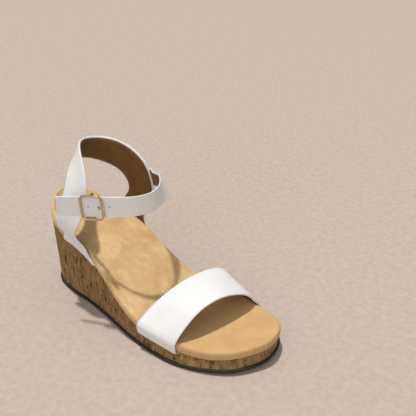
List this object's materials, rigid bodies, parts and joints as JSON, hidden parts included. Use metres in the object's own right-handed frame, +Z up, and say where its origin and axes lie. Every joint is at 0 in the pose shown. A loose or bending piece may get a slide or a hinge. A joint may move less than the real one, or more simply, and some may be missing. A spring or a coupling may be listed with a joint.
{
  "type": "wedge sandal",
  "caption": "Right-foot women's wedge sandal: cork-wrapped wedge, padded tan footbed, wide white toe strap, heel strap and a buckled ankle strap.",
  "frame": {"origin": "on the ground, under the middle of the sole", "axes": "+X to the toe, +Y to the inner side of the foot, +Z up"},
  "size_m": [0.2505, 0.1026, 0.1502],
  "materials": {
    "rubber": "matte moulded rubber",
    "core_foam": "light moulded foam",
    "cork": "cork sheet with dark upright flecks",
    "board": "pressed fibre board",
    "suede": "soft tan microsuede",
    "white_leather": "smooth semi-matte white faux leather",
    "white_backing": "smooth white backing",
    "tape": "woven reinforcing tape",
    "lining": "smooth brown lining",
    "gold": "polished pale gold plating"
  },
  "bodies": {
    "sole": {"outsole": "rubber", "wedge_core": "core_foam", "cork_wrap": "cork", "insole_board": "board", "footbed_foam": "core_foam", "footbed_cover": "suede", "toe_strap_outer": "white_leather", "toe_strap_tape": "tape", "toe_strap_lining": "lining", "heel_anchor_outer_outer": "white_leather", "heel_anchor_outer_tape": "tape", "heel_anchor_outer_lining": "lining", "heel_anchor_inner_outer": "white_leather", "heel_anchor_inner_tape": "tape", "heel_anchor_inner_lining": "lining"},
    "heel_strap": {"heel_strap_outer": "white_leather", "heel_strap_tape": "tape", "heel_strap_lining": "lining"},
    "ankle_strap": {"ankle_strap_outer": "white_leather", "ankle_strap_lining": "white_backing", "buckle_tab": "white_leather"},
    "buckle": {"buckle_frame": "gold"},
    "prong": {"buckle_prong": "gold"}
  },
  "joints": [
    {"name": "heel_strap_flex", "type": "hinge", "parent": "sole", "child": "heel_strap", "pos_m": [-0.05075, 0, 0.07109], "axis": [0, 1, 0], "range_deg": [-5, 5], "stiffness_Nm_per_rad": 0.3},
    {"name": "ankle_strap_swing", "type": "hinge", "parent": "heel_strap", "child": "ankle_strap", "pos_m": [-0.0407, 0.042, 0.1109], "axis": [0.1578, 0.987, -0.0316], "range_deg": [-6, 6], "stiffness_Nm_per_rad": 0.15},
    {"name": "buckle_tilt", "type": "hinge", "parent": "ankle_strap", "child": "buckle", "pos_m": [-0.03446, -0.03623, 0.11945], "axis": [-0.1025, 0.0063, 0.9947], "range_deg": [-2, 2]},
    {"name": "prong_lift", "type": "hinge", "parent": "buckle", "child": "prong", "pos_m": [-0.03446, -0.03623, 0.11945], "axis": [0.1025, -0.0063, -0.9947], "range_deg": [0, 5]}
  ]
}
